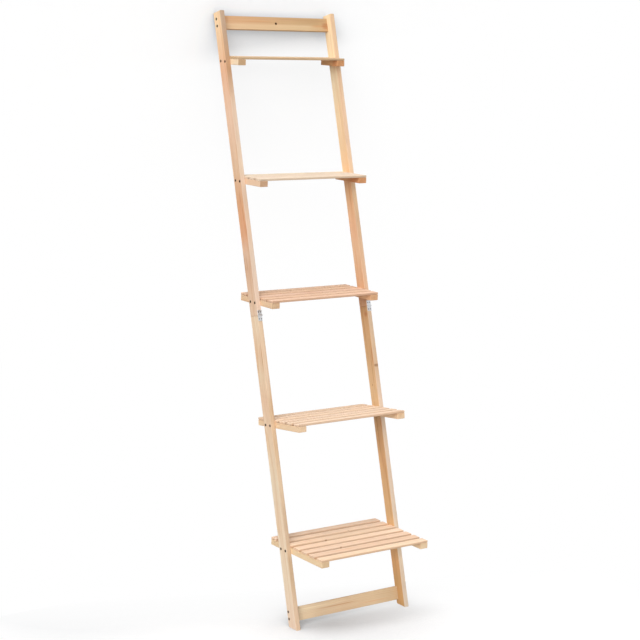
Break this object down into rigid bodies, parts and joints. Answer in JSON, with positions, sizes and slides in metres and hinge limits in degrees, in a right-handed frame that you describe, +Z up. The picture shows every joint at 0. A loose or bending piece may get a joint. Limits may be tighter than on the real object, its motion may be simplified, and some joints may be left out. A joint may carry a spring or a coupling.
{
  "type": "plant ladder stand",
  "caption": "Leaning ladder stand of plain softwood for plants, with slatted shelves between two rails that fold forward on small butt hinges",
  "frame": {"origin": "bottom centre of the bounding box: midway between the rails, on the floor, midway between the front edge of the lowest shelf and the top back corner of the rails", "axes": "+X is the width, to the stand's right as seen from the front; -Y is the front, where the shelves face the user; +Y is toward the wall that the stand leans on; +Z is up"},
  "size_m": [0.415, 0.626, 1.76],
  "materials": {
    "rail_wood": "plain sanded softwood, unfinished, straight grain along the rail",
    "crossbar_wood": "plain sanded softwood, unfinished, grain along the bar",
    "cleat_wood": "plain sanded softwood, unfinished, grain along the cleat",
    "slat_wood": "plain planed softwood, unfinished, grain along the slat, with a few small knots",
    "hinge_steel": "bright zinc-plated pressed steel",
    "screw_steel": "dull zinc-plated steel"
  },
  "bodies": {
    "lower_frame": {"rail_lower_left": "rail_wood", "rail_lower_right": "rail_wood", "crossbar_bottom": "crossbar_wood", "hinge_left_lower_leaf": "hinge_steel", "hinge_left_pin": "hinge_steel", "hinge_left_lower_screw_1": "screw_steel", "hinge_left_lower_screw_2": "screw_steel", "hinge_right_lower_leaf": "hinge_steel", "hinge_right_pin": "hinge_steel", "hinge_right_lower_screw_1": "screw_steel", "hinge_right_lower_screw_2": "screw_steel", "shelf_4_cleat_left": "cleat_wood", "shelf_4_cleat_right": "cleat_wood", "shelf_4_slat_1": "slat_wood", "shelf_4_slat_2": "slat_wood", "shelf_4_slat_3": "slat_wood", "shelf_4_slat_4": "slat_wood", "shelf_4_slat_5": "slat_wood", "shelf_4_slat_6": "slat_wood", "shelf_5_cleat_left": "cleat_wood", "shelf_5_cleat_right": "cleat_wood", "shelf_5_slat_1": "slat_wood", "shelf_5_slat_2": "slat_wood", "shelf_5_slat_3": "slat_wood", "shelf_5_slat_4": "slat_wood", "shelf_5_slat_5": "slat_wood", "shelf_5_slat_6": "slat_wood", "shelf_5_slat_7": "slat_wood"},
    "upper_frame": {"rail_upper_left": "rail_wood", "rail_upper_right": "rail_wood", "crossbar_top": "crossbar_wood", "hinge_left_upper_leaf": "hinge_steel", "hinge_left_upper_screw_1": "screw_steel", "hinge_left_upper_screw_2": "screw_steel", "hinge_right_upper_leaf": "hinge_steel", "hinge_right_upper_screw_1": "screw_steel", "hinge_right_upper_screw_2": "screw_steel", "shelf_1_cleat_left": "cleat_wood", "shelf_1_cleat_right": "cleat_wood", "shelf_1_slat_1": "slat_wood", "shelf_1_slat_2": "slat_wood", "shelf_1_slat_3": "slat_wood", "shelf_2_cleat_left": "cleat_wood", "shelf_2_cleat_right": "cleat_wood", "shelf_2_slat_1": "slat_wood", "shelf_2_slat_2": "slat_wood", "shelf_2_slat_3": "slat_wood", "shelf_2_slat_4": "slat_wood", "shelf_3_cleat_left": "cleat_wood", "shelf_3_cleat_right": "cleat_wood", "shelf_3_slat_1": "slat_wood", "shelf_3_slat_2": "slat_wood", "shelf_3_slat_3": "slat_wood", "shelf_3_slat_4": "slat_wood", "shelf_3_slat_5": "slat_wood"}
  },
  "joints": [
    {"name": "fold", "type": "hinge", "parent": "lower_frame", "child": "upper_frame", "pos_m": [0, 0.02696, 0.88762], "axis": [1, 0, 0], "range_deg": [0, 164]}
  ]
}
